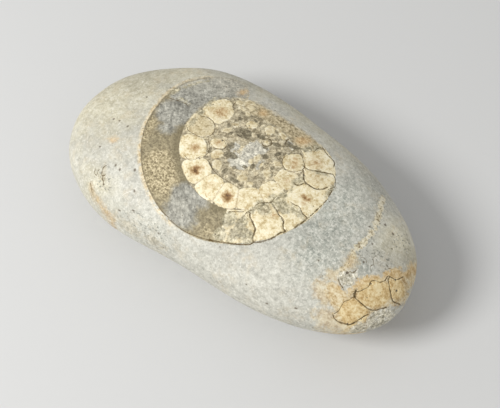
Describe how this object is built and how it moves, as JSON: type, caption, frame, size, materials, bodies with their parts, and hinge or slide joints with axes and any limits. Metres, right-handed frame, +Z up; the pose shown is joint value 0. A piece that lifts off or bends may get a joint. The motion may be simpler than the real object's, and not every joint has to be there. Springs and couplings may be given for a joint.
{
  "type": "ammonite fossil in a beach pebble",
  "caption": "Flat oval limestone pebble, worn smooth by water, with the coiled chambers of an ammonite showing as a natural slice flush with its upper face.",
  "frame": {"origin": "on the surface the pebble rests on, under the middle of its outline, inside the flat worn under it", "axes": "+X along the length towards the narrower end with the ochre patch, +Y across, +Z up through the fossil face"},
  "size_m": [0.0952, 0.052, 0.028],
  "materials": {
    "fossil_limestone": "water-worn, dull satin grey limestone with cream calcite chambers, brown sediment fill and ochre stains"
  },
  "bodies": {
    "root": {"ammonite_pebble": "fossil_limestone"}
  },
  "joints": []
}
